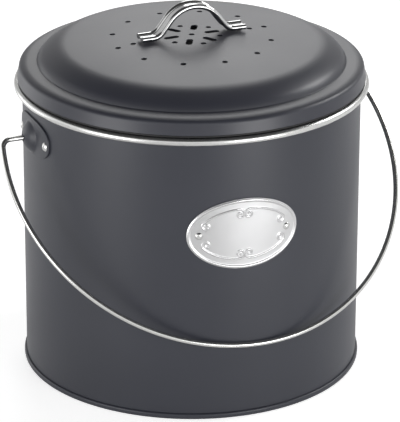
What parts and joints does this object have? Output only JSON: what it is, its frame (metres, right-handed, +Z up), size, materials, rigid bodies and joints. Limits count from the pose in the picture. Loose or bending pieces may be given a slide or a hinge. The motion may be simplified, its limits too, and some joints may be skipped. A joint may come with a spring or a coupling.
{
  "type": "compost caddy",
  "caption": "Round steel compost caddy with a swinging wire bail, an oval nameplate and a vented lift-off lid that holds a charcoal filter.",
  "frame": {"origin": "centre of the pail's footprint, on the ground under the base's hem", "axes": "+Z up the pail's axis; X along the bail's hinge line through both ears; -Y is the front, with the nameplate"},
  "size_m": [0.2542, 0.22, 0.233],
  "materials": {
    "body_paint": "satin anthracite powder coat",
    "lid_paint": "satin anthracite powder coat",
    "rim_steel": "polished",
    "wire_steel": "bright plated",
    "handle_steel": "bright plated",
    "plate_steel": "satin silver",
    "rivet_steel": "bright",
    "gasket_rubber": "matte black",
    "filter_felt": "charcoal felt",
    "holder_plastic": "moulded black",
    "clip_steel": "zinc plated"
  },
  "bodies": {
    "pail": {"pail_wall": "body_paint", "base_pan": "body_paint", "rim_ring": "rim_steel", "left_ear": "body_paint", "right_ear": "body_paint", "left_ear_rivets": "rivet_steel", "right_ear_rivets": "rivet_steel", "nameplate": "plate_steel", "nameplate_rivets": "rivet_steel"},
    "bail": {"bail": "wire_steel"},
    "lid": {"lid_shell": "lid_paint", "lid_handle": "handle_steel", "lid_collar": "lid_paint", "lid_gasket": "gasket_rubber", "charcoal_filter": "filter_felt", "filter_holder": "holder_plastic", "filter_clips": "clip_steel"}
  },
  "joints": [
    {"name": "bail_hinge", "type": "hinge", "parent": "pail", "child": "bail", "pos_m": [0, 0, 0.1598], "axis": [-1, 0, 0], "range_deg": [0, 271]},
    {"name": "lid_lift", "type": "slide", "parent": "pail", "child": "lid", "axis": [0, 0, 1], "range_m": [0, 0.12]}
  ]
}
